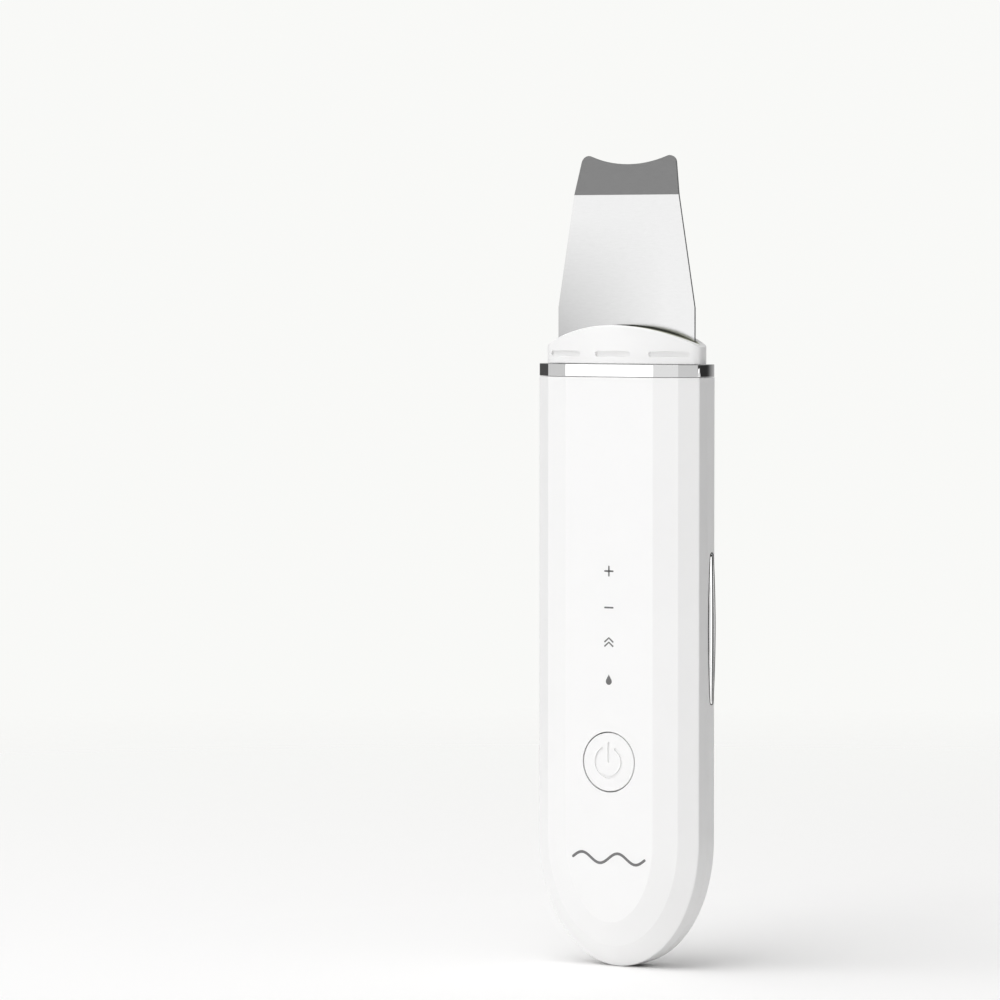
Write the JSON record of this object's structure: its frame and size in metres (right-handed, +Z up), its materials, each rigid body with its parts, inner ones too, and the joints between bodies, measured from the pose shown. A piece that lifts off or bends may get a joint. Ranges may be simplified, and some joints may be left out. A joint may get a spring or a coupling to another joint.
{
  "type": "ultrasonic skin scrubber",
  "caption": "Upright hand-held facial skin scrubber: white faceted handle with a flush round button, chrome trim band, arched head collar and a wide steel blade with a folded tip.",
  "frame": {"origin": "centre of the base of the bounding box, under the lowest point of the handle's round end", "axes": "+Z up along the handle towards the blade's tip, -Y out of the front face with the button, +X to the right seen from the front"},
  "size_m": [0.0418, 0.0146, 0.176],
  "materials": {
    "white_plastic": "moulded white plastic, satin gloss, faint moulding texture",
    "chrome": "polished chrome plating",
    "blade_steel": "finely polished stainless sheet",
    "screw_steel": "plain screw steel",
    "socket_steel": "plain drawn steel sheet",
    "spring_bronze": "bare spring bronze",
    "seal_rubber": "matte dark silicone rubber",
    "piezo_ceramic": "unglazed ceramic with a thin metal coat",
    "grey_plastic": "matte moulded plastic",
    "black_plastic": "matte black plastic",
    "board_green": "green solder mask on glass-fibre board",
    "ferrite": "matte sintered ferrite",
    "capacitor_blue": "shrunk plastic sleeve",
    "led_lens": "cast clear yellowish resin",
    "cell_foil": "laminated aluminium foil",
    "foam": "closed-cell foam",
    "red_insulation": "soft wire insulation"
  },
  "bodies": {
    "handle": {"front_housing": "white_plastic", "rear_housing": "white_plastic", "trim_band": "chrome", "head_collar": "white_plastic", "scraper_blade": "blade_steel", "blade_seal": "seal_rubber", "piezo_disc_front": "piezo_ceramic", "piezo_disc_rear": "piezo_ceramic", "damper_front": "seal_rubber", "damper_rear": "seal_rubber", "blade_clamp_front": "grey_plastic", "blade_clamp_rear": "grey_plastic", "clamp_screw_right": "screw_steel", "clamp_screw_left": "screw_steel", "switch_body": "black_plastic", "hand_electrode_right": "chrome", "hand_electrode_left": "chrome", "electrode_spring_right": "spring_bronze", "electrode_spring_left": "spring_bronze", "main_board": "board_green", "board_screw_right": "screw_steel", "board_screw_left": "screw_steel", "board_screw_top": "screw_steel", "microcontroller": "black_plastic", "charge_chip": "black_plastic", "driver_transistor": "black_plastic", "drive_transformer": "ferrite", "filter_capacitor": "capacitor_blue", "mode_led_1": "led_lens", "mode_led_2": "led_lens", "mode_led_3": "led_lens", "mode_led_4": "led_lens", "light_box": "black_plastic", "usb_socket_shell": "socket_steel", "usb_socket_tongue": "black_plastic", "battery_cell": "cell_foil", "battery_pad": "foam", "battery_lead_red": "red_insulation", "battery_lead_black": "black_plastic", "piezo_lead_red": "red_insulation", "piezo_lead_black": "black_plastic"},
    "power_button": {"power_button": "white_plastic", "switch_plunger": "black_plastic"}
  },
  "joints": [
    {"name": "button_press", "type": "slide", "parent": "handle", "child": "power_button", "axis": [0, 1, 0], "range_m": [0, 0.0004], "stiffness_N_per_m": 4000}
  ]
}
